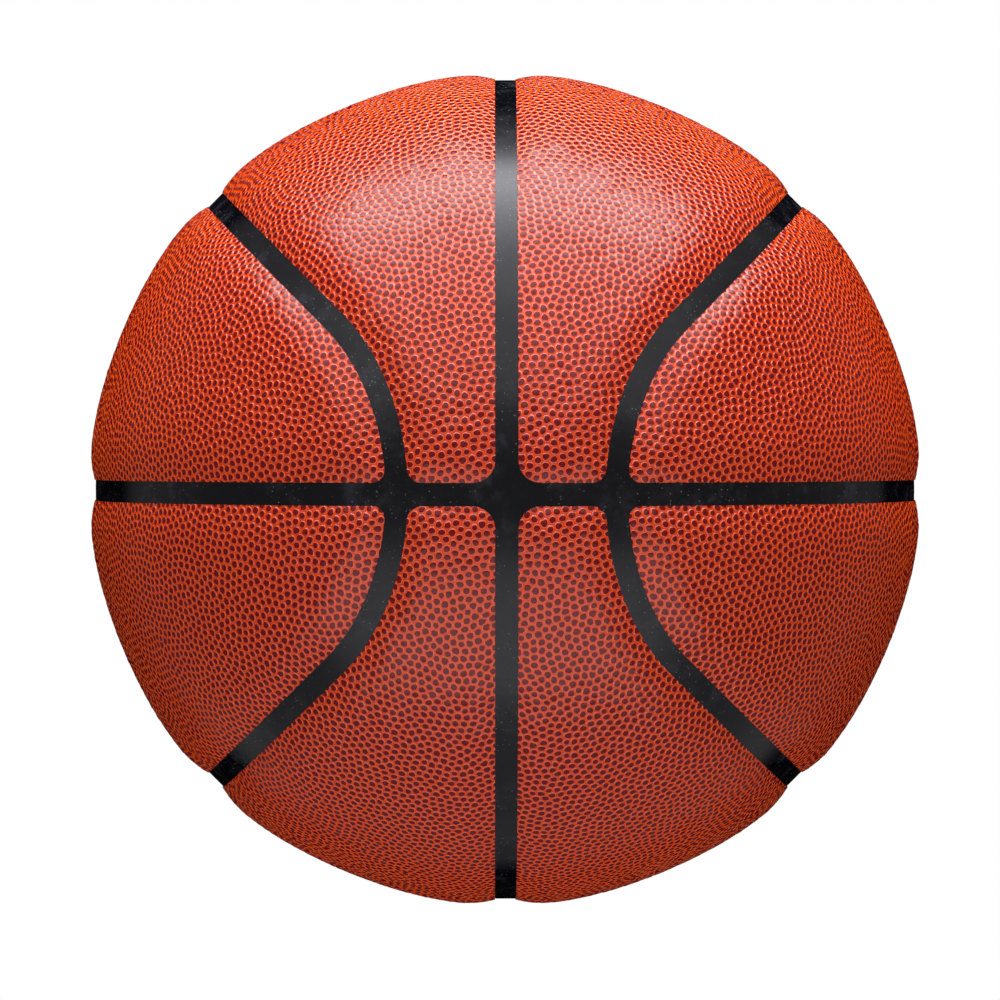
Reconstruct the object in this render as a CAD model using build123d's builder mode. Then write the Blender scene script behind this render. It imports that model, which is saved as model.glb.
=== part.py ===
from build123d import *
import os
from math import acos, atan2, cos, degrees, radians, sin, sqrt

# Ball and cover, in millimetres. The ball's centre is the origin, +Z is up
# and the two crossings of the straight channels lie on the Y axis.
ball_diameter = 238.73
panel_thickness = 2.0
panel_edge_thickness = 0.75
panel_roll_share = 0.47
panel_roll_crease = 2.0
glue_line = 0.1

# Channels between the panels
channel_width = 6.0
rib_recess = 0.2
waist_arc = 28.5
side_seam_tilt = 45.0
pole_corner_share = 0.26
side_corner_share = 0.16

# Layers under the cover
carcass_thickness = 1.8
winding_thickness = 1.0
bladder_thickness = 1.0
layer_gap = 0.05

# Inflation valve, in the back of one waist panel
valve_gore_angle = 22.5
valve_back_angle = 48.0
core_radius = 2.75
core_clearance = 0.05
core_recess = 0.5
neck_wall = 1.7
neck_clearance = 0.1
neck_recess = 0.4
neck_rounding = 0.4
flange_width = 10.5
flange_root_thickness = 1.4
flange_rim_thickness = 0.6
flange_root_fillet = 1.2
stem_length = 15.0
stem_taper = 0.5
stem_rounding = 0.8
bead_height = 0.75
bead_length = 2.4
bead_depth = 8.0
needle_radius = 1.0
needle_depth = 11.0
funnel_flare = 0.9
funnel_depth = 1.1
slit_width = 0.2
slit_span = 3.0

# Radii of the layers, from the crown of the panels inwards
crown_radius = ball_diameter / 2
panel_inner_radius = crown_radius - panel_thickness
edge_radius = panel_inner_radius + panel_edge_thickness
rib_radius = edge_radius - rib_recess
bed_radius = panel_inner_radius - glue_line
carcass_inner_radius = bed_radius - carcass_thickness
winding_radius = carcass_inner_radius - layer_gap
winding_inner_radius = winding_radius - winding_thickness
bladder_radius = winding_inner_radius - layer_gap
bladder_inner_radius = bladder_radius - bladder_thickness
cutter_reach = 2 * panel_thickness
outer_reach = crown_radius + cutter_reach

# Edge roll and corner roundings, from the panel width left between two channels
waist_gap = waist_arc - channel_width
panel_roll_width = panel_roll_share * waist_gap
pole_corner_radius = pole_corner_share * waist_gap
side_corner_radius = side_corner_share * waist_gap

# Side seams: near each pole a small circle about a turn axis runs tangent
# into two great circles tilted above and below the horizontal one
tilt = radians(side_seam_tilt)
waist_angle = waist_arc / crown_radius
turn_axis_angle = atan2(sin(waist_angle), cos(waist_angle) - sin(tilt))
turn_radius_angle = turn_axis_angle - waist_angle

centre = Vector(0, 0, 0)
full_turn = 360.0

# Spheres are laid with their own poles and seam away from the quarter
# of the cover that is cut
quarter_plane = Plane(origin=centre, x_dir=(-1, 0, -1), z_dir=(1, 0, -1))
rib_plane = Plane(origin=centre, x_dir=(0, 1, 0), z_dir=(3, 0, 1))


def tangent_point(end):
    """Direction where the turn near the pole at y = end meets the tilted seam."""
    axis = Vector(sin(turn_axis_angle), end * cos(turn_axis_angle), 0)
    across = Vector(-sin(tilt), 0, cos(tilt))
    return (axis - across * axis.dot(across)).normalized()


def turn_run(end):
    """Turn of the right side seam near one pole: start, axis and sweep angle."""
    axis = Vector(sin(turn_axis_angle), end * cos(turn_axis_angle), 0)
    start = tangent_point(end)
    near_pole = Vector(sin(waist_angle), end * cos(waist_angle), 0)
    foot = axis * cos(turn_radius_angle)
    half_sweep = (start - foot).get_angle(near_pole - foot)
    return (start, axis * -end, 2 * half_sweep)


def tilted_run():
    """Upper tilted part of the right side seam, from the front to the back."""
    start = tangent_point(-1)
    top = Vector(cos(tilt), 0, sin(tilt))
    return (start, start.cross(top).normalized(), 2 * start.get_angle(top))


seam_runs = [
    (Vector(1, 0, 0), Vector(0, 0, 1), full_turn),
    (Vector(0, 0, 1), Vector(1, 0, 0), full_turn),
    turn_run(-1),
    turn_run(1),
    tilted_run(),
]


def seam_plane(start, axis):
    """Plane across a seam: x runs outwards and the seam's axis lies in it."""
    return Plane(origin=centre, x_dir=start, z_dir=axis.cross(start))


def pole_angle(edge):
    """Angle in degrees between an edge's middle and the nearer pole."""
    point = edge @ 0.5
    return degrees(acos(min(1.0, abs(point.Y) / point.length)))


def climb(edge):
    """How far an edge runs outwards from the ball's centre."""
    return abs((edge @ 0).length - (edge @ 1).length)


def quarter_blocks(width, low_radius, high_radius, growth):
    """Waist and end block of the upper right quarter, corners rounded."""
    middle = (low_radius + high_radius) / 2
    depth = high_radius - low_radius
    size = high_radius + cutter_reach
    with BuildPart() as quarter:
        with Locations(Location(quarter_plane)):
            Sphere(high_radius)
            Sphere(low_radius, mode=Mode.SUBTRACT)
        with Locations((size / 2, 0, size / 2)):
            Box(size, 2 * size, size, mode=Mode.INTERSECT)
        for start, axis, sweep in seam_runs:
            with BuildSketch(seam_plane(start, axis)):
                with Locations((middle, 0)):
                    Rectangle(depth + cutter_reach, width)
            revolve(axis=Axis(centre, axis), revolution_arc=sweep, mode=Mode.SUBTRACT)
    halfway = degrees(waist_angle) / 2
    blocks = []
    for solid in quarter.solids().sort_by(Axis.Z, reverse=True):
        with BuildPart() as block:
            add(solid)
            standing = block.edges().filter_by(lambda e: climb(e) > depth / 2)
            at_pole = standing.filter_by(lambda e: pole_angle(e) < halfway)
            at_side = standing.filter_by(lambda e: halfway < pole_angle(e) < 3 * halfway)
            if at_pole:
                fillet(at_pole, pole_corner_radius + growth)
            fillet(at_side, side_corner_radius + growth)
        blocks.append(block.part)
    return blocks


def roll_profile():
    """Space above the rolled-down panel edges on both sides of a channel."""
    half = channel_width / 2
    edge = Vector(sqrt(edge_radius**2 - half**2), half)
    crown_angle = atan2(edge.Y, edge.X) + panel_roll_width / crown_radius
    crown = Vector(cos(crown_angle), sin(crown_angle)) * crown_radius
    lean = crown_angle - radians(panel_roll_crease)
    up = Vector(cos(lean), sin(lean))
    fall = edge - crown
    roll_radius = -fall.dot(fall) / (2 * fall.dot(up))
    hub = crown - up * roll_radius
    foot_y = half / 2
    foot_x = hub.X + sqrt(roll_radius**2 - (foot_y - hub.Y) ** 2)
    top_x = outer_reach
    with BuildSketch() as roll:
        with BuildLine():
            Line((foot_x, -foot_y), (foot_x, foot_y))
            ThreePointArc((foot_x, foot_y), (edge.X, edge.Y), (crown.X, crown.Y))
            Line((crown.X, crown.Y), (top_x, crown.Y))
            Line((top_x, crown.Y), (top_x, -crown.Y))
            Line((top_x, -crown.Y), (crown.X, -crown.Y))
            ThreePointArc((crown.X, -crown.Y), (edge.X, -edge.Y), (foot_x, -foot_y))
        make_face()
    return roll.sketch


roll_sketch = roll_profile()

# Valve axis, and the plane its round profiles are drawn in:
# x is the distance from the axis, y the distance from the ball's centre
gore = radians(valve_gore_angle)
back = radians(valve_back_angle)
valve_direction = Vector(-sin(gore) * cos(back), sin(back), cos(gore) * cos(back))
valve_side = valve_direction.cross(Vector(0, 1, 0)).normalized()
valve_axis = Axis(centre, valve_direction)
profile_plane = Plane(origin=centre, x_dir=valve_side, z_dir=valve_side.cross(valve_direction))
hole_plane = Plane(origin=centre, x_dir=valve_side, z_dir=valve_direction)
bore_radius = core_radius + core_clearance
neck_radius = bore_radius + neck_wall
hole_radius = neck_radius + neck_clearance

# Cover panels: one quarter is cut, the rest are its mirror images
waist_block, end_block = quarter_blocks(channel_width, panel_inner_radius, crown_radius, 0.0)

with BuildPart() as waist_panel_upper_right:
    add(waist_block)
    for start, axis, sweep in seam_runs:
        with BuildSketch(seam_plane(start, axis)):
            add(roll_sketch)
        revolve(axis=Axis(centre, axis), revolution_arc=sweep, mode=Mode.SUBTRACT)

with BuildPart() as end_panel_upper_right:
    add(end_block)
    for start, axis, sweep in seam_runs:
        with BuildSketch(seam_plane(start, axis)):
            add(roll_sketch)
        revolve(axis=Axis(centre, axis), revolution_arc=sweep, mode=Mode.SUBTRACT)

with BuildPart() as waist_panel_upper_left:
    mirror(waist_panel_upper_right.part, about=Plane.YZ)
    with BuildSketch(hole_plane):
        Circle(hole_radius)
    extrude(amount=outer_reach, mode=Mode.SUBTRACT)

with BuildPart() as waist_panel_lower_right:
    mirror(waist_panel_upper_right.part, about=Plane.XY)

with BuildPart() as waist_panel_lower_left:
    mirror(waist_panel_lower_right.part, about=Plane.YZ)

with BuildPart() as end_panel_upper_left:
    mirror(end_panel_upper_right.part, about=Plane.YZ)

with BuildPart() as end_panel_lower_right:
    mirror(end_panel_upper_right.part, about=Plane.XY)

with BuildPart() as end_panel_lower_left:
    mirror(end_panel_lower_right.part, about=Plane.YZ)

# Carcass: beds for the panels are sunk into a ball, the ribs stay between them
waist_bed, end_bed = quarter_blocks(
    channel_width - 2 * glue_line, bed_radius, outer_reach, glue_line
)

with BuildPart() as waist_beds:
    add(waist_bed)
    mirror(about=Plane.YZ)
    mirror(about=Plane.XY)

with BuildPart() as end_beds:
    add(end_bed)
    mirror(about=Plane.YZ)
    mirror(about=Plane.XY)

with BuildPart() as carcass:
    with Locations(Location(rib_plane)):
        Sphere(rib_radius)
    add(waist_beds.part, mode=Mode.SUBTRACT)
    add(end_beds.part, mode=Mode.SUBTRACT)
    with Locations(Location(rib_plane)):
        Sphere(carcass_inner_radius, mode=Mode.SUBTRACT)
    with BuildSketch(hole_plane):
        Circle(hole_radius)
    extrude(amount=outer_reach, mode=Mode.SUBTRACT)

with BuildPart() as thread_winding:
    Sphere(winding_radius)
    Sphere(winding_inner_radius, mode=Mode.SUBTRACT)
    with BuildSketch(hole_plane):
        Circle(hole_radius)
    extrude(amount=outer_reach, mode=Mode.SUBTRACT)

with BuildPart() as bladder:
    Sphere(bladder_radius)
    Sphere(bladder_inner_radius, mode=Mode.SUBTRACT)
    with BuildSketch(hole_plane):
        Circle(neck_radius + layer_gap)
    extrude(amount=outer_reach, mode=Mode.SUBTRACT)

# Valve housing: a flange under the bladder, a neck out to the cover
# and a tapered stem inwards, with a grooved bore for the core
flange_radius = neck_radius + flange_width
seat_radius = bladder_inner_radius - layer_gap
seat_root_y = sqrt(seat_radius**2 - neck_radius**2)
seat_rim_y = sqrt(seat_radius**2 - flange_radius**2)
seat_mid_x = (neck_radius + flange_radius) / 2
seat_mid_y = sqrt(seat_radius**2 - seat_mid_x**2)
neck_top = crown_radius - neck_recess
root_under_y = seat_root_y - flange_root_thickness
rim_under_y = seat_rim_y - flange_rim_thickness
stem_tip_y = root_under_y - stem_length
stem_tip_radius = neck_radius - stem_taper
core_top = neck_top - core_recess
bead_top = core_top - bead_depth
bead_middle = bead_top - bead_length / 2
bead_radius = core_radius + bead_height
groove_radius = bead_radius + core_clearance
groove_length = bead_length + 2 * core_clearance
bore_middle = (neck_top + stem_tip_y) / 2
bore_length = 2 * (neck_top - stem_tip_y)

with BuildPart() as valve_housing:
    with BuildSketch(profile_plane):
        with BuildLine():
            Line((0, neck_top), (neck_radius, neck_top))
            Line((neck_radius, neck_top), (neck_radius, seat_root_y))
            ThreePointArc(
                (neck_radius, seat_root_y), (seat_mid_x, seat_mid_y), (flange_radius, seat_rim_y)
            )
            Line((flange_radius, seat_rim_y), (flange_radius, rim_under_y))
            Line((flange_radius, rim_under_y), (neck_radius, root_under_y))
            Line((neck_radius, root_under_y), (stem_tip_radius, stem_tip_y))
            Line((stem_tip_radius, stem_tip_y), (0, stem_tip_y))
            Line((0, stem_tip_y), (0, neck_top))
        make_face()
    revolve(axis=valve_axis)
    rings = valve_housing.edges().filter_by(GeomType.CIRCLE).sort_by(valve_axis)
    fillet(rings[0], stem_rounding)
    rings = valve_housing.edges().filter_by(GeomType.CIRCLE).sort_by(valve_axis)
    fillet(rings[-1], neck_rounding)
    rings = valve_housing.edges().filter_by(GeomType.CIRCLE).sort_by(valve_axis)
    roots = rings.filter_by(lambda e: abs(e.radius - neck_radius) < neck_clearance)
    fillet(roots[0], flange_root_fillet)
    with BuildSketch(profile_plane):
        with Locations((bore_radius / 2, bore_middle)):
            Rectangle(bore_radius, bore_length)
        with Locations((groove_radius / 2, bead_middle)):
            Rectangle(groove_radius, groove_length)
    revolve(axis=valve_axis, mode=Mode.SUBTRACT)

# Valve core: a plug with a bead, a funnel, a needle passage and a closing slit
needle_end = core_top - needle_depth
funnel_low = core_top - funnel_depth
funnel_radius = needle_radius + funnel_flare

with BuildPart() as valve_core:
    with BuildSketch(profile_plane):
        with Locations((core_radius / 2, (core_top + stem_tip_y) / 2)):
            Rectangle(core_radius, core_top - stem_tip_y)
        with Locations((bead_radius / 2, bead_middle)):
            Rectangle(bead_radius, bead_length)
    revolve(axis=valve_axis)
    with BuildSketch(profile_plane):
        with BuildLine():
            Line((0, core_top), (funnel_radius, core_top))
            Line((funnel_radius, core_top), (needle_radius, funnel_low))
            Line((needle_radius, funnel_low), (needle_radius, needle_end))
            Line((needle_radius, needle_end), (0, needle_end))
            Line((0, needle_end), (0, core_top))
        make_face()
    revolve(axis=valve_axis, mode=Mode.SUBTRACT)
    with BuildSketch(hole_plane.offset(stem_tip_y)):
        Rectangle(slit_span, slit_width)
    extrude(amount=needle_end - stem_tip_y, mode=Mode.SUBTRACT)

# Every piece goes out as a solid of its own
os.makedirs("parts", exist_ok=True)

waist_panel_upper_right.part.label = "waist_panel_upper_right"
waist_panel_upper_left.part.label = "waist_panel_upper_left"
waist_panel_lower_right.part.label = "waist_panel_lower_right"
waist_panel_lower_left.part.label = "waist_panel_lower_left"
end_panel_upper_right.part.label = "end_panel_upper_right"
end_panel_upper_left.part.label = "end_panel_upper_left"
end_panel_lower_right.part.label = "end_panel_lower_right"
end_panel_lower_left.part.label = "end_panel_lower_left"
carcass.part.label = "carcass"
thread_winding.part.label = "thread_winding"
bladder.part.label = "bladder"
valve_housing.part.label = "valve_housing"
valve_core.part.label = "valve_core"

export_step(waist_panel_upper_right.part, "parts/waist_panel_upper_right.step")
export_step(waist_panel_upper_left.part, "parts/waist_panel_upper_left.step")
export_step(waist_panel_lower_right.part, "parts/waist_panel_lower_right.step")
export_step(waist_panel_lower_left.part, "parts/waist_panel_lower_left.step")
export_step(end_panel_upper_right.part, "parts/end_panel_upper_right.step")
export_step(end_panel_upper_left.part, "parts/end_panel_upper_left.step")
export_step(end_panel_lower_right.part, "parts/end_panel_lower_right.step")
export_step(end_panel_lower_left.part, "parts/end_panel_lower_left.step")
export_step(carcass.part, "parts/carcass.step")
export_step(thread_winding.part, "parts/thread_winding.step")
export_step(bladder.part, "parts/bladder.step")
export_step(valve_housing.part, "parts/valve_housing.step")
export_step(valve_core.part, "parts/valve_core.step")
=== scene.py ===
import math

import bpy
import numpy as np
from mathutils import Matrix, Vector
from mathutils.geometry import delaunay_2d_cdt


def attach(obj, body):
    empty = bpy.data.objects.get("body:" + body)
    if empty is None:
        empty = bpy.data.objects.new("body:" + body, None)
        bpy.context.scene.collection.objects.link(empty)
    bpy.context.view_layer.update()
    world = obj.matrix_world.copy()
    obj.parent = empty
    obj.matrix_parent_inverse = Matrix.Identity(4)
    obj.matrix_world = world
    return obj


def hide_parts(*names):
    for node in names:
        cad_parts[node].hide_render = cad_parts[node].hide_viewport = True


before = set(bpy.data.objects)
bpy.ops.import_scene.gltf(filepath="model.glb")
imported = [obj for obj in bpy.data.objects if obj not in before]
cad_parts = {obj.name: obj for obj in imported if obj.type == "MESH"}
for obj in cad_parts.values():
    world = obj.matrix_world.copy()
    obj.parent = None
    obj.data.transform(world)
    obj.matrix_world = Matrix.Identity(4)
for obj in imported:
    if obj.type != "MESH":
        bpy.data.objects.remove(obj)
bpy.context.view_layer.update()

MM = 0.001

# Ball, in millimetres, with the seams' run and the valve's place of the part's source
BALL_RADIUS = 119.365
CHANNEL_HALF = 2.95
WAIST_ARC = 28.5
TILT = math.radians(45.0)
POLE_CORNER = 5.85
SIDE_CORNER = 3.6
PANEL_INNER = 117.42
EDGE_RADIUS = 118.2
SHOULDER_RISE = 1.55
SHOULDER_WIDTH = 11.0
MIDDLE_DIP = 0.5
MIDDLE_REACH = 30.0
VALVE_GORE = math.radians(22.5)
VALVE_BACK = math.radians(48.0)
VALVE_HOLE = 4.65
VALVE_DIP = 0.3
VALVE_DIP_REACH = 3.0

# Pebbles on the cover, lengths in millimetres
PEBBLE_PITCH = 2.3
PEBBLE_DEPTH = 0.36
PEBBLE_TILT = 0.032
PEBBLE_LIFT = 0.03
TOP_ROUNDING = math.radians(5.0)
RIM_STEEPNESS = math.radians(43.0)
VALLEY_STEEPNESS = math.radians(-8.0)
VALLEY_HALF = 0.4
VALLEY_LEAST = 0.28
RIM_LEAST = 0.3
ROUNDNESS = 0.6
CORNER_REACH = 1.06
CORNER_VALLEY = 1.35
DEEPEST_SHARE = -0.2
CENTRE, RIM, VALLEY = 0, 1, 2

# Repeating tile of pebble centres, and how it is laid over a panel
TILE_SEED = 7
TILE_SIDE = 62.0
TILE_ROUNDS = 240
PUSH_REACH = 1.75 * PEBBLE_PITCH
PUSH_STEP = 0.32 * PEBBLE_PITCH
TILES_EACH_WAY = 5
TURN_RANGE = 6.28
OVERHANG = 1.6 * PEBBLE_PITCH
HALF_LENGTH = 195.0
HALF_WIDTH = 55.0
SEED_BEFORE_FIRST = 20

# Inner lining of a panel
LINING_INSET = 3.0 * PEBBLE_PITCH
LINING_SKIP = 7

# Triangulation's whole-hull output, how near spots merge, and the least length divided by
WHOLE_HULL = 0
CENTRE_MERGE = 1e-5
LINING_MERGE = 1e-6
LEAST_LENGTH = 1e-6

# Flat layout of a panel: overlap of its halves in millimetres, rows as shares of its height
LAYOUT_OVERLAP = 5.0
SKIN_HIGH = 0.47
WALL_ROW = 0.945
WALL_HIGH = 0.005
LINING_ROW = 0.955
LINING_HIGH = 0.04

# Sockets of the Mix node for colours, and the middle of a noise
MIX_SHARE, MIX_FIRST, MIX_SECOND = 0, 6, 7
MIX_COLOUR = 2
NOISE_MIDDLE = 0.5

# Surroundings and floor, in metres
WORLD_LIGHT = 0.15
BEHIND_START = 0.35
BEHIND_END = 0.85
FLOOR_HALF = 1.3
FLOOR_LEVEL = -1.0
FLOOR_TONE = 0.45
NEAR_WHITE = 0.6
FADE_START = 1.05
FADE_END = 1.6
WHITE = (1.0, 1.0, 1.0, 1.0)

# Lamps and camera, in metres and the camera's own units
LIGHT_ARC = 1.2
LIGHT_TINT = (0.98, 0.98, 1.04)
CAMERA_DISTANCE = 0.9
CAMERA_PITCH = 0.0113
CAMERA_YAW = 0.0039
CAMERA_LENS = 111.5
CAMERA_SENSOR = 36.0
CAMERA_SHIFT_X = -0.005
CAMERA_SHIFT_Y = -0.0106

WAIST_ANGLE = WAIST_ARC / BALL_RADIUS
TURN_AXIS = math.atan2(math.sin(WAIST_ANGLE), math.cos(WAIST_ANGLE) - math.sin(TILT))
TURN_RADIUS = TURN_AXIS - WAIST_ANGLE
VALVE_DIRECTION = np.array(
    [
        -math.sin(VALVE_GORE) * math.cos(VALVE_BACK),
        math.sin(VALVE_BACK),
        math.cos(VALVE_GORE) * math.cos(VALVE_BACK),
    ]
)


def smooth_step(low, high, x):
    """0 below low, 1 above high, and 3t^2 - 2t^3 of the share t between."""
    t = np.clip((x - low) / (high - low), 0.0, 1.0)
    return t * t * (3.0 - 2.0 * t)


def side_seam_distance(x, y, z):
    """Distance along the ball from the right upper side seam, positive towards the waist.

    Near a pole the seam is a small circle, so the distance is the angle to
    that circle's axis less its radius; elsewhere it is the angle from the
    tilted great circle's plane.
    """
    toward = np.abs(y)
    axis_x = math.sin(TURN_AXIS)
    axis_y = math.cos(TURN_AXIS)
    from_axis = np.arccos(np.clip(x * axis_x + toward * axis_y, -1.0, 1.0))
    round_part = from_axis - TURN_RADIUS
    straight_part = -np.arcsin(np.clip((x * math.sin(TILT) - z * math.cos(TILT)), -1.0, 1.0))
    bearing = np.arctan2(np.abs(z), toward * axis_x - x * axis_y)
    off_square = math.asin(min(1.0, math.tan(TURN_RADIUS) / math.tan(TURN_AXIS)))
    meeting = math.pi / 2 - off_square
    return BALL_RADIUS * np.where(bearing < meeting, round_part, straight_part)


def rounded_both(first, second, radius):
    """Distance inside two edges at once, their common corner rounded by the radius."""
    short = np.hypot(np.maximum(radius - first, 0.0), np.maximum(radius - second, 0.0))
    return np.where(short > 0.0, radius - short, np.minimum(first, second))


class Gore:
    """One cover panel's place on the ball.

    A point is u millimetres along the great circle through the panel's middle
    and v millimetres across it, both measured on the ball.
    """

    def __init__(self, family, side, level):
        self.family = family
        self.side = side
        self.level = level
        slant = TILT / 2
        if family == "waist":
            middle = (side * math.sin(slant), 0.0, level * math.cos(slant))
        else:
            middle = (side * math.cos(slant), 0.0, level * math.sin(slant))
        self.middle = np.array(middle)
        self.along = np.array((0.0, 1.0, 0.0))
        self.across = np.cross(self.middle, self.along)
        self.valve = family == "waist" and side < 0 and level > 0

    def direction(self, spots):
        """Unit vector of each (u, v): u turns along the middle circle, v leans off it."""
        turn = spots[:, 0] / BALL_RADIUS
        lean = spots[:, 1] / BALL_RADIUS
        reach = np.cos(lean)
        return (
            np.outer(reach * np.cos(turn), self.middle)
            + np.outer(reach * np.sin(turn), self.along)
            + np.outer(np.sin(lean), self.across)
        )

    def seam_inset(self, spots):
        """Distance inside the channels' edges, with the panel's corners rounded."""
        point = self.direction(spots)
        x = point[:, 0] * self.side
        z = point[:, 2] * self.level
        off_upright = BALL_RADIUS * np.arcsin(np.clip(x, -1, 1)) - CHANNEL_HALF
        off_level = BALL_RADIUS * np.arcsin(np.clip(z, -1, 1)) - CHANNEL_HALF
        off_side = side_seam_distance(x, point[:, 1], z)
        if self.family == "waist":
            at_pole = rounded_both(off_upright, off_level, POLE_CORNER)
            at_side = rounded_both(off_level, off_side - CHANNEL_HALF, SIDE_CORNER)
            return np.minimum(at_pole, at_side)
        return rounded_both(off_level, -off_side - CHANNEL_HALF, SIDE_CORNER)

    def valve_gap(self, spots):
        """Distance outside the valve's hole."""
        nearness = np.clip(self.direction(spots) @ VALVE_DIRECTION, -1, 1)
        return BALL_RADIUS * np.arccos(nearness) - VALVE_HOLE

    def inset(self, spots):
        """Distance inside the panel's whole outline, the valve's hole included."""
        gap = self.seam_inset(spots)
        if self.valve:
            gap = np.minimum(gap, self.valve_gap(spots))
        return gap

    def onto_edge(self, spots):
        """Spots outside moved to the outline, by steps of distance over slope."""
        rounds = 4
        nudge = 0.02
        least_steep = 0.2
        for _ in range(rounds):
            gap = self.inset(spots)
            slope_u = (self.inset(spots + (nudge, 0.0)) - gap) / nudge
            slope_v = (self.inset(spots + (0.0, nudge)) - gap) / nudge
            steep = np.maximum(slope_u**2 + slope_v**2, least_steep)
            spots = spots - np.stack((gap * slope_u / steep, gap * slope_v / steep), 1)
        return spots

    def crown(self, spots):
        """Radius of the pebble tops: up a rolled edge to the shoulder, then a slight dip."""
        gap = np.maximum(self.seam_inset(spots), 0.0)
        climb = 1.0 - (1.0 - np.clip(gap / SHOULDER_WIDTH, 0.0, 1.0)) ** 2
        dip = smooth_step(SHOULDER_WIDTH, SHOULDER_WIDTH + MIDDLE_REACH, gap)
        height = EDGE_RADIUS + SHOULDER_RISE * climb - MIDDLE_DIP * dip
        if self.valve:
            away = smooth_step(0.0, VALVE_DIP_REACH, self.valve_gap(spots))
            height = height - VALVE_DIP * (1.0 - away)
        return height

    def crowned(self, spots):
        """Place of each spot on the crowned surface."""
        return self.direction(spots) * self.crown(spots)[:, None]

    def slopes(self, spots):
        """Directions along u and v on the crowned surface, and the way out of it."""
        nudge = 0.05
        here = self.crowned(spots)
        along = (self.crowned(spots + (nudge, 0.0)) - here) / nudge
        across = (self.crowned(spots + (0.0, nudge)) - here) / nudge
        up = np.cross(along, across)
        return along, across, up / np.linalg.norm(up, axis=1, keepdims=True)


def pebble_tile():
    """Pebble centres on a square that repeats.

    Random spots push each other apart, round after round, the push falling
    off as the square of how far inside the reach they are.
    """
    count = int(TILE_SIDE**2 / (PEBBLE_PITCH**2 * math.sqrt(3) / 2))
    chance = np.random.default_rng(TILE_SEED)
    across, up = (chance.random((2, count)) * TILE_SIDE).astype(np.float32)
    itself = TILE_SIDE * np.eye(count, dtype=np.float32)
    for _ in range(TILE_ROUNDS):
        gap_across = across[:, None] - across[None, :]
        gap_across -= TILE_SIDE * np.rint(gap_across / TILE_SIDE)
        gap_up = up[:, None] - up[None, :]
        gap_up -= TILE_SIDE * np.rint(gap_up / TILE_SIDE)
        far = np.sqrt(gap_across**2 + gap_up**2) + itself
        push = PUSH_STEP * np.maximum(1.0 - far / PUSH_REACH, 0.0) ** 2 / far
        across = (across + (gap_across * push).sum(1)) % TILE_SIDE
        up = (up + (gap_up * push).sum(1)) % TILE_SIDE
    return np.stack((across, up), 1).astype(float)


def scattered(tile, gore, turn, offset):
    """The tile laid side by side over a panel, turned and shifted, kept near the outline."""
    steps = np.arange(-TILES_EACH_WAY, TILES_EACH_WAY + 1) * TILE_SIDE
    shift = np.stack(np.meshgrid(steps, steps), -1).reshape(-1, 1, 2)
    spots = (tile[None] + shift).reshape(-1, 2) + offset
    spin = np.array(((math.cos(turn), math.sin(turn)), (-math.sin(turn), math.cos(turn))))
    spots = spots @ spin
    near = (np.abs(spots[:, 0]) < HALF_LENGTH) & (np.abs(spots[:, 1]) < HALF_WIDTH)
    spots = spots[near]
    return spots[gore.inset(spots) > -OVERHANG]


def triangulated(spots, links, merge):
    """Triangles over the spots, with the links as edges of them; also the spots as merged."""
    corners = [Vector(spot) for spot in spots.tolist()]
    found = delaunay_2d_cdt(corners, links, [], WHOLE_HULL, merge)
    return np.array([tuple(spot) for spot in found[0]]), np.array(found[2])


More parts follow.
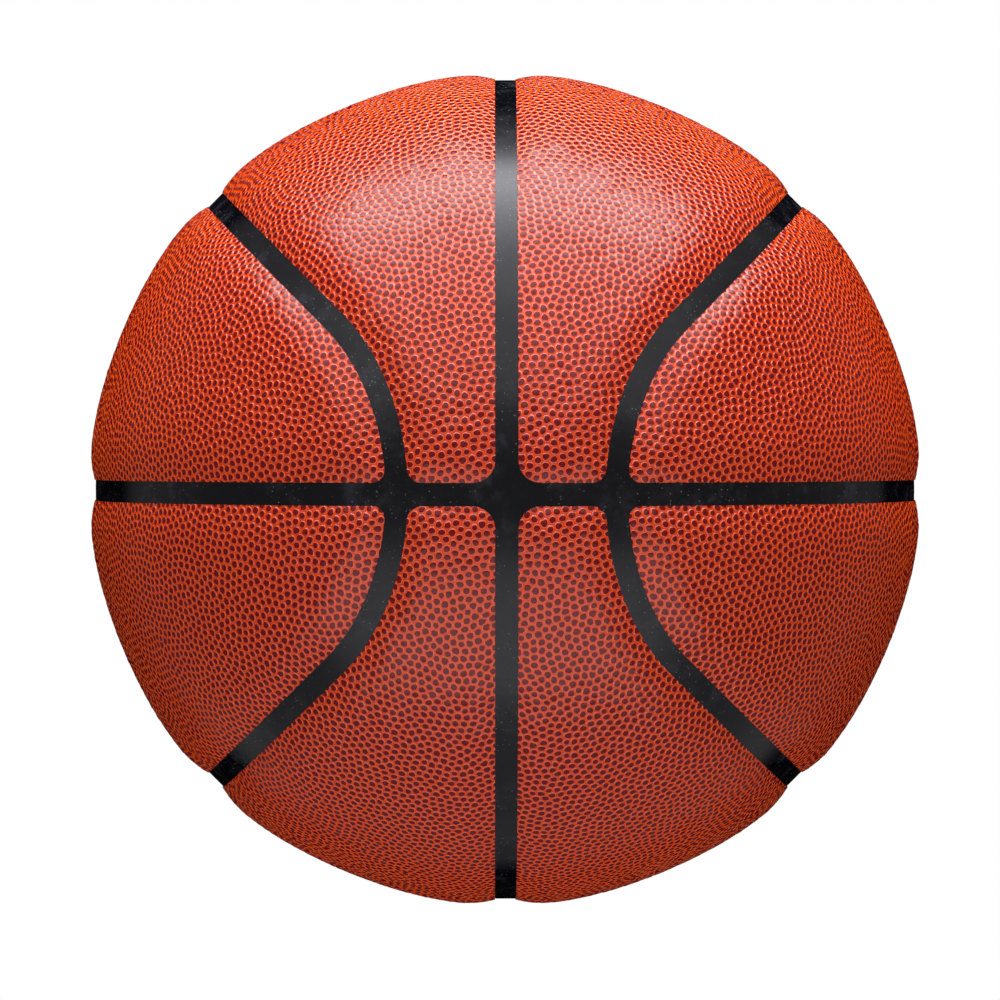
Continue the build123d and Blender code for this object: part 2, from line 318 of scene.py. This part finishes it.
def pebble_quads(scatter):
    """Pebbles and valleys from the triangles between neighbouring centres.

    On each line between two centres lie the two rims and the valley's middle,
    and in each triangle a rim point for each pebble and the valley's deepest
    point. Every corner of a triangle then gives one quad of a flat top and
    two of a sloping side. Returns spots, quads, top shares, kinds of spot, how
    far each quad's corners lean out from their pebble, owners of quads and
    spots (-1 for a valley's), and centres.
    """
    centres, corner = triangulated(scatter, [], CENTRE_MERGE)
    count = len(centres)
    many = len(corner)
    pairs = np.stack((corner, np.roll(corner, -1, 1)), -1)
    ordered = np.sort(pairs.reshape(-1, 2), 1)
    lines, which = np.unique(ordered, axis=0, return_inverse=True)
    which = which.reshape(many, 3)

    # Rims and valley middle on each line
    first = centres[lines[:, 0]]
    second = centres[lines[:, 1]]
    span = second - first
    length = np.linalg.norm(span, axis=1, keepdims=True)
    ways = np.bincount(lines.reshape(-1), minlength=count)
    sums = np.bincount(lines.reshape(-1), np.repeat(length[:, 0] / 2, 2), count)
    usual = (sums / np.maximum(ways, 1))[:, None]
    local = (1.0 - ROUNDNESS) * length / 2 - VALLEY_HALF
    most = length / 2 - VALLEY_LEAST
    reach_first = np.clip(ROUNDNESS * usual[lines[:, 0]] + local, RIM_LEAST, most)
    reach_second = np.clip(ROUNDNESS * usual[lines[:, 1]] + local, RIM_LEAST, most)
    rim_first = first + span * reach_first / length
    rim_second = second - span * reach_second / length
    valley = (first + second) / 2

    # Deepest point of each triangle, and the rim points that face it
    deep = centres[corner].mean(1)
    toward = deep[:, None, :] - centres[corner]
    far = np.linalg.norm(toward, axis=2, keepdims=True)
    evened = CORNER_REACH * (usual[corner] - VALLEY_HALF)
    reach = ROUNDNESS * evened + (1.0 - ROUNDNESS) * (far - CORNER_VALLEY * VALLEY_HALF)
    rim_deep = centres[corner] + toward * np.clip(reach, RIM_LEAST, far - VALLEY_LEAST) / far

    # Where each kind of spot starts in the list of all spots
    spots = np.concatenate((centres, rim_first, rim_second, valley, deep, rim_deep.reshape(-1, 2)))
    at_first = count
    at_second = at_first + len(lines)
    at_valley = at_second + len(lines)
    at_deep = at_valley + len(lines)
    at_rim = at_deep + many

    # Quads of tops and of both sides
    starts = pairs[:, :, 0] == ordered.reshape(many, 3, 2)[:, :, 0]
    here = np.where(starts, at_first, at_second) + which
    there = np.roll(np.where(starts, at_second, at_first) + which, 1, 1)
    mid_here = at_valley + which
    mid_there = np.roll(mid_here, 1, 1)
    own = at_rim + np.arange(many * 3).reshape(many, 3)
    low = np.repeat((at_deep + np.arange(many))[:, None], 3, 1)
    top = np.stack((corner, here, own, there), -1)
    side_here = np.stack((here, mid_here, low, own), -1)
    side_there = np.stack((own, low, mid_there, there), -1)
    quads = np.concatenate((top, side_here, side_there)).reshape(-1, 4)

    # What the spots and quads carry
    share = np.ones(len(spots))
    share[at_valley:at_deep] = 0.0
    share[at_deep:at_rim] = DEEPEST_SHARE
    kind = np.full(len(spots), RIM)
    kind[:at_first] = CENTRE
    kind[at_valley:at_rim] = VALLEY
    top_lean = np.tile((0.0, TOP_ROUNDING, TOP_ROUNDING, TOP_ROUNDING), (many * 3, 1))
    side_lean = (RIM_STEEPNESS, VALLEY_STEEPNESS, VALLEY_STEEPNESS, RIM_STEEPNESS)
    lean_out = np.concatenate((top_lean, np.tile(side_lean, (many * 6, 1))))
    quad_owner = np.tile(corner.reshape(-1), 3)
    nobody = np.full(len(lines) + many, -1)
    owner = np.concatenate((np.arange(count), lines[:, 0], lines[:, 1], nobody, corner.reshape(-1)))
    return spots, quads, share, kind, lean_out, quad_owner, owner, centres


class Panel:
    """Closed, pebbled cover panel: outer skin, edge wall down to the bed and inner lining."""

    def __init__(self, gore, tile, seed):
        self.gore = gore
        self.lay_skin(tile, np.random.default_rng(seed))
        self.hang_wall()
        self.lay_lining()
        self.points = np.concatenate((self.outer, self.foot, self.inner)) * MM

    def lay_skin(self, tile, chance):
        """Pebbles over the panel, those across the outline trimmed to it."""
        turn = chance.random() * TURN_RANGE
        offset = chance.random(2) * TILE_SIDE
        laid = pebble_quads(scattered(tile, self.gore, turn, offset))
        spots, quads, share, kind, lean_out, quad_owner, owner, self.centres = laid
        inside = self.gore.inset(spots)
        kept = (inside[quads] > 0.0).any(1)
        used = np.unique(quads[kept])
        place = np.full(len(spots), -1)
        place[used] = np.arange(len(used))
        self.quads = place[quads[kept]]
        self.lean_out = lean_out[kept]
        self.quad_owner = quad_owner[kept]
        self.spots = spots[used]
        self.share = share[used]
        self.kind = kind[used]
        outside = inside[used] < 0.0
        self.spots[outside] = self.gore.onto_edge(self.spots[outside])
        self.gap = np.maximum(self.gore.inset(self.spots), 0.0)
        self.gap[outside] = 0.0

        # Each pebble's top leans a little its own way
        self.tilt = chance.normal(0.0, PEBBLE_TILT, (len(self.centres), 2))
        lift = chance.normal(0.0, PEBBLE_LIFT, len(self.centres))
        raised = owner[used] >= 0
        pebble = owner[used][raised]
        off_centre = self.spots[raised] - self.centres[pebble]
        height = self.gore.crown(self.spots) - PEBBLE_DEPTH * (1.0 - self.share)
        height[raised] += (off_centre * self.tilt[pebble]).sum(1) + lift[pebble]
        self.outer = self.gore.direction(self.spots) * height[:, None]

    def hang_wall(self):
        """The edge wall, from every edge that only one quad uses."""
        total = len(self.spots)
        start = self.quads.reshape(-1)
        end = np.roll(self.quads, -1, 1).reshape(-1)
        lone = ~np.isin(start * total + end, end * total + start)
        start = start[lone]
        end = end[lone]
        self.ring = np.unique(np.concatenate((start, end)))
        ring_place = np.full(total, -1)
        ring_place[self.ring] = np.arange(len(self.ring))
        self.links = np.stack((ring_place[start], ring_place[end]), 1)
        below = total + ring_place
        self.wall = np.stack((end, start, below[start], below[end]), 1)
        self.foot = self.gore.direction(self.spots[self.ring]) * PANEL_INNER

    def lay_lining(self):
        """The inner skin: triangles between the wall's foot and some of the centres."""
        well_inside = self.gore.inset(self.centres) > LINING_INSET
        loose = self.centres[well_inside][::LINING_SKIP]
        lined = np.concatenate((self.spots[self.ring], loose))
        links = [tuple(link) for link in self.links.tolist()]
        self.lining, tris = triangulated(lined, links, LINING_MERGE)
        tris = tris[self.gore.inset(self.lining[tris].mean(1)) > 0.0]
        self.inner = self.gore.direction(self.lining) * PANEL_INNER
        self.cap = tris[:, ::-1] + len(self.spots) + len(self.ring)

    def crisp(self, ends):
        """Which edges are sharp: rims, valley lines and the panel's own edges."""
        total = len(self.spots)
        others = np.full(len(self.points) - total, CENTRE)
        kinds = np.concatenate((self.kind, others))[ends]
        edged = np.zeros(len(self.points), bool)
        edged[self.ring] = True
        edged[total:total + len(self.ring)] = True
        alike = (kinds[:, 0] == kinds[:, 1]) & (kinds[:, 0] > CENTRE)
        return alike | edged[ends].all(1)

    def corner_normals(self):
        """Shading of rounded pebbles, with flat tops, steep rims and soft valleys."""
        along, across, up = (way[self.quads] for way in self.gore.slopes(self.spots))
        out = self.spots[self.quads] - self.centres[self.quad_owner][:, None, :]
        out = out[:, :, :1] * along + out[:, :, 1:] * across
        out = out / np.maximum(np.linalg.norm(out, axis=2, keepdims=True), LEAST_LENGTH)
        tilt = self.tilt[self.quad_owner][:, None, :]
        upright = up - tilt[:, :, :1] * along - tilt[:, :, 1:] * across
        bend = self.lean_out[:, :, None]
        skin = upright * np.cos(bend) + out * np.sin(bend)
        corners = self.points[self.wall]
        wall = np.cross(corners[:, 1] - corners[:, 0], corners[:, 3] - corners[:, 0])
        lining = -self.points[self.cap.reshape(-1)]
        normals = np.concatenate((skin.reshape(-1, 3), np.repeat(wall, 4, 0), lining))
        return normals / np.linalg.norm(normals, axis=1, keepdims=True)

    def layout(self):
        """Flat layout for the finish: front half below, back half above, wall and lining on top."""
        faces = (self.quads.reshape(-1), self.wall.reshape(-1), self.cap.reshape(-1))
        flat = np.concatenate((self.spots, self.spots[self.ring], self.lining))[np.concatenate(faces)]
        sideways = (flat[:, 0] + HALF_LENGTH) / (2 * HALF_LENGTH)
        upward = (flat[:, 1] + HALF_WIDTH) / (2 * HALF_WIDTH)
        laid = np.stack((sideways, LINING_ROW + LINING_HIGH * upward), 1)
        skin = self.quads.size
        behind = np.repeat(self.spots[self.quads, 0].mean(1) > 0.0, 4)
        moved = flat[:skin, 0] + np.where(behind, LAYOUT_OVERLAP, HALF_LENGTH)
        laid[:skin, 0] = moved / (HALF_LENGTH + LAYOUT_OVERLAP)
        laid[:skin, 1] = SKIN_HIGH * (upward[:skin] + behind)
        wall_rows = np.tile((0.0, 0.0, WALL_HIGH, WALL_HIGH), len(self.wall))
        laid[skin:skin + self.wall.size, 1] = WALL_ROW + wall_rows
        return laid

    def piece(self, name):
        """The panel as an object, with what its finish reads.

        That is the share of the pebble's height and the distance from the edge.
        """
        faces = self.quads.tolist() + self.wall.tolist() + self.cap.tolist()
        mesh = bpy.data.meshes.new(name)
        mesh.from_pydata(self.points.tolist(), [], faces)
        mesh.update(calc_edges=True)
        mesh.polygons.foreach_set("use_smooth", np.ones(len(faces), bool))
        ends = np.empty(len(mesh.edges) * 2, np.int32)
        mesh.edges.foreach_get("vertices", ends)
        crisp = self.crisp(ends.reshape(-1, 2))
        mesh.attributes.new("sharp_edge", "BOOLEAN", "EDGE").data.foreach_set("value", crisp)
        normals = self.corner_normals().astype(np.float32).reshape(-1)
        held = mesh.attributes.new("custom_normal", "FLOAT_VECTOR", "CORNER")
        held.data.foreach_set("vector", normals)
        rest = np.zeros(len(self.points) - len(self.spots))
        tops = np.concatenate((self.share, rest))
        mesh.attributes.new("pebble_top", "FLOAT", "POINT").data.foreach_set("value", tops)
        gaps = np.concatenate((self.gap, rest))
        mesh.attributes.new("edge_gap", "FLOAT", "POINT").data.foreach_set("value", gaps)
        uv = mesh.uv_layers.new(name="OFBake")
        uv.uv.foreach_set("vector", self.layout().astype(np.float32).reshape(-1))
        made = bpy.data.objects.new(name, mesh)
        bpy.context.collection.objects.link(made)
        return made


class Wire:
    """One output of a finish's nodes; arithmetic on it adds Math nodes."""

    def __init__(self, finish, socket):
        self.finish = finish
        self.socket = socket

    def work(self, operation, left, right):
        """A Math node on the two values."""
        return self.finish.node("ShaderNodeMath", {"operation": operation}, {0: left, 1: right})

    def __add__(self, other):
        return self.work("ADD", self, other)

    def __radd__(self, other):
        return self.work("ADD", other, self)

    def __sub__(self, other):
        return self.work("SUBTRACT", self, other)

    def __rsub__(self, other):
        return self.work("SUBTRACT", other, self)

    def __mul__(self, other):
        return self.work("MULTIPLY", self, other)

    def __rmul__(self, other):
        return self.work("MULTIPLY", other, self)


class Finish:
    """The nodes of a material, or of the world, made one at a time."""

    def __init__(self, owner):
        self.owner = owner
        owner.use_nodes = True
        self.tree = owner.node_tree
        self.tree.nodes.clear()

    def node(self, kind, settings, sockets, output=0):
        """A node with its settings, its inputs linked or set, and one output of it."""
        made = self.tree.nodes.new(kind)
        for key, value in settings.items():
            setattr(made, key, value)
        for key, value in sockets.items():
            if isinstance(value, Wire):
                self.tree.links.new(value.socket, made.inputs[key])
            else:
                made.inputs[key].default_value = value
        return Wire(self, made.outputs[output])

    def place(self):
        """The point in the object's own space."""
        return self.node("ShaderNodeTexCoord", {}, {}, "Object")

    def noise(self, place, scale, detail, rough=0.5):
        """Cloudy values around the noise's middle."""
        return self.node(
            "ShaderNodeTexNoise",
            {"noise_dimensions": "3D"},
            {"Vector": place, "Scale": scale, "Detail": detail, "Roughness": rough},
        )

    def mix(self, share, first, second):
        """The first colour, going over to the second by the share."""
        return self.node(
            "ShaderNodeMix",
            {"data_type": "RGBA", "blend_type": "MIX"},
            {MIX_SHARE: share, MIX_FIRST: first, MIX_SECOND: second},
            MIX_COLOUR,
        )

    def band(self, value, low, high):
        """0 at low, 1 at high and a smooth step between; low may be the larger."""
        return self.node(
            "ShaderNodeMapRange",
            {"interpolation_type": "SMOOTHSTEP", "clamp": True},
            {"Value": value, "From Min": low, "From Max": high, "To Min": 0.0, "To Max": 1.0},
        )

    def bump(self, height, distance, strength):
        """Normal of a surface raised by the height."""
        return self.node(
            "ShaderNodeBump", {}, {"Height": height, "Distance": distance, "Strength": strength}
        )

    def faced(self, low, high):
        """1 where the surface faces the eye, down to 0 where it is seen edge on."""
        edge_on = self.node("ShaderNodeLayerWeight", {}, {"Blend": 0.5}, "Facing")
        return 1.0 - self.band(edge_on, low, high)

    def seen(self, behind):
        """1 for rays that see the white background: straight, or in gloss or glass behind the ball."""
        kinds = ("Is Camera Ray", "Is Glossy Ray", "Is Transmission Ray")
        straight, gloss, through = (self.node("ShaderNodeLightPath", {}, {}, kind) for kind in kinds)
        return self.node("ShaderNodeClamp", {}, {"Value": straight + (gloss + through) * behind})

    def end(self, shader, kind="ShaderNodeOutputMaterial"):
        """The output node, fed by the shader; gives back what owns the nodes."""
        last = self.tree.nodes.new(kind)
        self.tree.links.new(shader.socket, last.inputs["Surface"])
        return self.owner

    def surface(self, sockets):
        """A Principled surface as the last step."""
        return self.end(self.node("ShaderNodeBsdfPrincipled", {}, sockets))


def material_finish(name):
    """A finish for a new material."""
    return Finish(bpy.data.materials.new(name))


def srgb(red, green, blue):
    """Linear colour of an 8-bit sRGB one."""
    values = np.array((red, green, blue)) / 255.0
    linear = np.where(values <= 0.04045, values / 12.92, ((values + 0.055) / 1.055) ** 2.4)
    return tuple(linear.tolist()) + (1.0,)


def cover_finish():
    """Composite leather: dark pebble tops over orange sides and valleys, with painted shade darkening
    the valley bottoms and the panel's edge.
    """
    valley_shade_orange = srgb(246, 54, 3)
    rim_orange = srgb(255, 98, 10)
    patch_orange = srgb(250, 72, 6)
    dark_top = srgb(102, 6, 9)
    light_top = srgb(134, 16, 18)
    edge_shade_brown = srgb(40, 16, 14)
    ragged = 0.22
    patch_most = 0.5
    edge_shade_most = 0.85
    side_rough = 0.27
    top_rougher = 0.08
    grain_rough = 0.14
    grain_height = 0.6
    speck_height = 0.4
    top_duller = 0.5
    finish = material_finish("pebbled_composite_leather")
    place = finish.place()
    top = finish.node("ShaderNodeAttribute", {"attribute_name": "pebble_top"}, {}, "Fac")
    gap = finish.node("ShaderNodeAttribute", {"attribute_name": "edge_gap"}, {}, "Fac")
    grain = finish.noise(place, scale=2600.0, detail=3.0)
    patch = finish.noise(place, scale=14.0, detail=3.0)
    speck = finish.noise(place, scale=900.0, detail=2.0)
    crown_mask = finish.band(top + (speck - NOISE_MIDDLE) * ragged, low=0.72, high=0.97)
    # Painted shade: the sides go darker towards the valley bottoms and lighter towards the rims
    shaded_side_tone = finish.mix(finish.band(top, low=-0.1, high=0.75), valley_shade_orange, rim_orange)
    patched = finish.band(patch, low=0.3, high=0.7) * patch_most
    shaded_side_tone = finish.mix(patched, shaded_side_tone, patch_orange)
    top_tone = finish.mix(finish.band(grain, low=0.3, high=0.72), dark_top, light_top)
    colour = finish.mix(crown_mask, shaded_side_tone, top_tone)
    # Painted shade: a thin dark line along the panel's edge, where it meets the channel
    colour = finish.mix(finish.band(gap, low=0.1, high=0.0) * edge_shade_most, colour, edge_shade_brown)
    raised = grain * grain_height + speck * speck_height
    return finish.surface(
        {
            "Base Color": colour,
            "Roughness": side_rough + top_rougher * crown_mask + grain_rough * (grain - NOISE_MIDDLE),
            "Normal": finish.bump(raised, distance=0.00006, strength=0.55),
            "Specular IOR Level": 0.0,
            "Coat Weight": (1.0 - top_duller * crown_mask) * finish.faced(low=0.4, high=0.7),
            "Coat Roughness": 0.24,
            "Coat IOR": 1.7,
        }
    )


def channel_finish():
    """Smooth black rubber with fine specks, smudges and faint rubbed streaks."""
    black = srgb(9, 9, 14)
    smudge_grey = srgb(58, 58, 64)
    streak_grey = srgb(40, 39, 42)
    dust_grey = srgb(146, 146, 150)
    streak_scale = (900.0, 120.0, 900.0)
    smudge_most = 0.8
    streak_most = 0.3
    dust_most = 0.85
    plain_rough = 0.3
    cloud_rough = 0.16
    fine_rough = 0.2
    smudge_rougher = 0.1
    fine_height = 0.7
    smudge_height = 0.3
    gloss = 0.85
    smudge_duller = 0.2
    finish = material_finish("black_channel_rubber")
    place = finish.place()
    fine = finish.noise(place, scale=2200.0, detail=3.0, rough=0.6)
    cloud = finish.noise(place, scale=60.0, detail=5.0, rough=0.6)
    smudge = finish.noise(place, scale=210.0, detail=5.0, rough=0.7)
    stretched = finish.node("ShaderNodeMapping", {}, {"Vector": place, "Scale": streak_scale})
    rubbed = finish.noise(stretched, scale=1.0, detail=2.0)
    cells = {"Vector": place, "Scale": 1000.0, "Randomness": 1.0}
    from_speck = finish.node("ShaderNodeTexVoronoi", {}, cells, "Distance")
    which_speck = finish.node("ShaderNodeTexVoronoi", {}, cells, "Color")
    dust = finish.band(from_speck, low=0.2, high=0.06) * finish.band(which_speck, low=0.35, high=0.7)
    dust = dust * finish.band(cloud, low=0.34, high=0.58)
    patchy = finish.band(cloud, low=0.42, high=0.66) * finish.band(smudge, low=0.42, high=0.72)
    tone = finish.mix(patchy * smudge_most, black, smudge_grey)
    tone = finish.mix(finish.band(rubbed, low=0.6, high=0.75) * streak_most, tone, streak_grey)
    tone = finish.mix(dust * dust_most, tone, dust_grey)
    rough = plain_rough + cloud_rough * (cloud - NOISE_MIDDLE) + fine_rough * (fine - NOISE_MIDDLE)
    raised = fine * fine_height + smudge * smudge_height
    return finish.surface(
        {
            "Base Color": tone,
            "Roughness": rough + smudge_rougher * patchy,
            "Normal": finish.bump(raised, distance=0.00005, strength=0.5),
            "Specular IOR Level": 0.0,
            "Coat Weight": (gloss - smudge_duller * patchy) * finish.faced(low=0.4, high=0.66),
            "Coat Roughness": 0.28,
            "Coat IOR": 1.5,
        }
    )


def winding_finish():
    """Nylon thread in latex: three sets of fine turns laid across each other."""
    hollow_tan = srgb(150, 132, 96)
    thread_cream = srgb(226, 216, 190)
    latex_tan = srgb(196, 168, 112)
    first_turn = (0.3, 0.2, 0.1)
    later_turns = ((1.4, 0.6, 0.9), (0.8, 1.7, 0.4))
    below_share = 0.6
    above_share = 0.4
    latex_most = 0.3
    plain_rough = 0.75
    drift_smoother = 0.15
    finish = material_finish("wound_nylon_thread")
    place = finish.place()
    drift = finish.noise(place, scale=30.0, detail=2.0)

    def turns(rotation):
        """One set of turns, as waves along its own axis."""
        turned = finish.node("ShaderNodeMapping", {}, {"Vector": place, "Rotation": rotation})
        return finish.node(
            "ShaderNodeTexWave",
            {"wave_type": "BANDS", "bands_direction": "Z"},
            {"Vector": turned, "Scale": 420.0, "Distortion": 1.2, "Detail": 1.0},
            "Fac",
        )

    height = turns(first_turn)
    for rotation in later_turns:
        height = height * below_share + turns(rotation) * above_share
    tone = finish.mix(finish.band(height, low=0.25, high=0.8), hollow_tan, thread_cream)
    tone = finish.mix(finish.band(drift, low=0.45, high=0.75) * latex_most, tone, latex_tan)
    normal = finish.bump(height, distance=0.0003, strength=0.6)
    rough = plain_rough - drift_smoother * drift
    return finish.surface({"Base Color": tone, "Roughness": rough, "Normal": normal})


def bladder_finish():
    """Dull butyl with a patchy dusting of talc."""
    butyl_grey = srgb(36, 36, 38)
    talc_grey = srgb(120, 118, 114)
    talc_most = 0.5
    plain_rough = 0.6
    dust_rough = 0.25
    finish = material_finish("talc_dusted_butyl")
    place = finish.place()
    dust = finish.noise(place, scale=60.0, detail=6.0, rough=0.65)
    fine = finish.noise(place, scale=1500.0, detail=2.0)
    tone = finish.mix(finish.band(dust, low=0.45, high=0.8) * talc_most, butyl_grey, talc_grey)
    rough = plain_rough + dust_rough * (dust - NOISE_MIDDLE)
    normal = finish.bump(fine, distance=0.00005, strength=0.4)
    return finish.surface({"Base Color": tone, "Roughness": rough, "Normal": normal})


def moulded_rubber(name, dark, light, matt):
    """Moulded valve rubber: a mottled tone with a fine matt skin."""
    mottle_rough = 0.2
    each_height = 0.5
    finish = material_finish(name)
    place = finish.place()
    mottle = finish.noise(place, scale=700.0, detail=4.0)
    fine = finish.noise(place, scale=4000.0, detail=2.0)
    tone = finish.mix(finish.band(mottle, low=0.3, high=0.7), dark, light)
    raised = fine * each_height + mottle * each_height
    normal = finish.bump(raised, distance=0.00005, strength=0.5)
    rough = matt + mottle_rough * (mottle - NOISE_MIDDLE)
    return finish.surface({"Base Color": tone, "Roughness": rough, "Normal": normal})


def floor_finish():
    """Pale paper that runs out into the white background away from the ball."""
    paper = (FLOOR_TONE, FLOOR_TONE, FLOOR_TONE, 1.0)
    finish = material_finish("floor_paper")
    place = finish.place()
    away = finish.node("ShaderNodeVectorMath", {"operation": "LENGTH"}, {0: place}, "Value")
    rearward = finish.node("ShaderNodeSeparateXYZ", {}, {"Vector": place}, "Y")
    seen = finish.seen(finish.band(rearward, BEHIND_START, BEHIND_END))
    lit = finish.node("ShaderNodeBsdfDiffuse", {}, {"Color": paper})
    glow = finish.node("ShaderNodeEmission", {}, {"Color": WHITE, "Strength": 1.0})
    share = seen * (NEAR_WHITE + (1.0 - NEAR_WHITE) * finish.band(away, FADE_START, FADE_END))
    return finish.end(finish.node("ShaderNodeMixShader", {}, {0: share, 1: lit, 2: glow}))


def studio_world():
    """Dim light all round that looks white straight on and, behind the ball, in gloss."""
    surroundings = Finish(bpy.data.worlds.new("studio"))
    toward = surroundings.node("ShaderNodeTexCoord", {}, {}, "Generated")
    rearward = surroundings.node("ShaderNodeSeparateXYZ", {}, {"Vector": toward}, "Y")
    seen = surroundings.seen(surroundings.band(rearward, BEHIND_START, BEHIND_END))
    strength = WORLD_LIGHT + (1.0 - WORLD_LIGHT) * seen
    backdrop = surroundings.node("ShaderNodeBackground", {}, {"Color": WHITE, "Strength": strength})
    return surroundings.end(backdrop, "ShaderNodeOutputWorld")


def dress(node, material):
    """Gives a CAD node's object the finish in every slot."""
    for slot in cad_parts[node].material_slots:
        slot.material = material


def soft_box(name, low, high, width, glow):
    """Studio light: a rectangle on an arc round the ball, facing it.

    It spans the stated degrees of the arc: 0 at the camera, 90 above the ball,
    180 behind it, and below 0 under the camera. Its power is its glow times
    its area times pi.
    """
    middle = math.radians((low + high) / 2)
    depth = LIGHT_ARC * math.radians(high - low)
    lamp = bpy.data.lights.new(name, "AREA")
    lamp.shape = "RECTANGLE"
    lamp.size = width
    lamp.size_y = depth
    lamp.energy = glow * math.pi * width * depth
    lamp.color = LIGHT_TINT
    holder = bpy.data.objects.new(name, lamp)
    holder.location = (0.0, -LIGHT_ARC * math.cos(middle), LIGHT_ARC * math.sin(middle))
    holder.rotation_euler = (math.pi / 2 - middle, 0.0, 0.0)
    bpy.context.collection.objects.link(holder)


# Cover panels
tile = pebble_tile()
cover = cover_finish()
seed = SEED_BEFORE_FIRST
for family in ("waist", "end"):
    for level, height_name in ((1, "upper"), (-1, "lower")):
        for side, side_name in ((-1, "left"), (1, "right")):
            seed += 1
            node = f"{family}_panel_{height_name}_{side_name}"
            panel = Panel(Gore(family, side, level), tile, seed).piece(f"pebbled_{node}")
            panel.data.materials.append(cover)
            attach(panel, "root")
            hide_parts(node)

# Pieces that keep their solid's shape
dress("carcass", channel_finish())
dress("thread_winding", winding_finish())
dress("bladder", bladder_finish())
dark_rubber = moulded_rubber("dark_valve_rubber", srgb(30, 27, 26), srgb(52, 47, 45), matt=0.5)
dress("valve_housing", dark_rubber)
gum_rubber = moulded_rubber("gum_rubber", srgb(120, 78, 52), srgb(160, 112, 80), matt=0.42)
dress("valve_core", gum_rubber)

# Floor and white surroundings
floor_mesh = bpy.data.meshes.new("floor")
floor_mesh.from_pydata(
    [
        (-FLOOR_HALF, -FLOOR_HALF, FLOOR_LEVEL),
        (FLOOR_HALF, -FLOOR_HALF, FLOOR_LEVEL),
        (FLOOR_HALF, FLOOR_HALF, FLOOR_LEVEL),
        (-FLOOR_HALF, FLOOR_HALF, FLOOR_LEVEL),
    ],
    [],
    [(0, 1, 2, 3)],
)
floor_mesh.materials.append(floor_finish())
floor = bpy.data.objects.new("floor", floor_mesh)
bpy.context.collection.objects.link(floor)
bpy.context.scene.world = studio_world()

# Lamps, from over the ball to under the camera, and a weak one behind
soft_box("zenith_box", low=83.0, high=96.5, width=1.6, glow=9.5)
soft_box("overhead_box", low=70.0, high=83.0, width=1.8, glow=4.8)
soft_box("high_front_box", low=50.0, high=70.0, width=1.9, glow=2.1)
soft_box("front_fill", low=22.0, high=50.0, width=1.9, glow=1.15)
soft_box("low_front_fill", low=-80.0, high=-14.0, width=2.0, glow=1.05)
soft_box("rear_fill", low=140.0, high=190.0, width=2.0, glow=0.4)

# Camera level with the ball, a touch above and left of its front crossing
camera_data = bpy.data.cameras.new("camera")
camera_data.lens = CAMERA_LENS
camera_data.sensor_width = CAMERA_SENSOR
camera_data.shift_x = CAMERA_SHIFT_X
camera_data.shift_y = CAMERA_SHIFT_Y
camera = bpy.data.objects.new("camera", camera_data)
camera.location = (
    -CAMERA_DISTANCE * math.sin(CAMERA_YAW) * math.cos(CAMERA_PITCH),
    -CAMERA_DISTANCE * math.cos(CAMERA_YAW) * math.cos(CAMERA_PITCH),
    CAMERA_DISTANCE * math.sin(CAMERA_PITCH),
)
camera.rotation_euler = (-Vector(camera.location)).to_track_quat("-Z", "Y").to_euler()
bpy.context.collection.objects.link(camera)
bpy.context.scene.camera = camera
bpy.context.scene.view_settings.view_transform = "Standard"
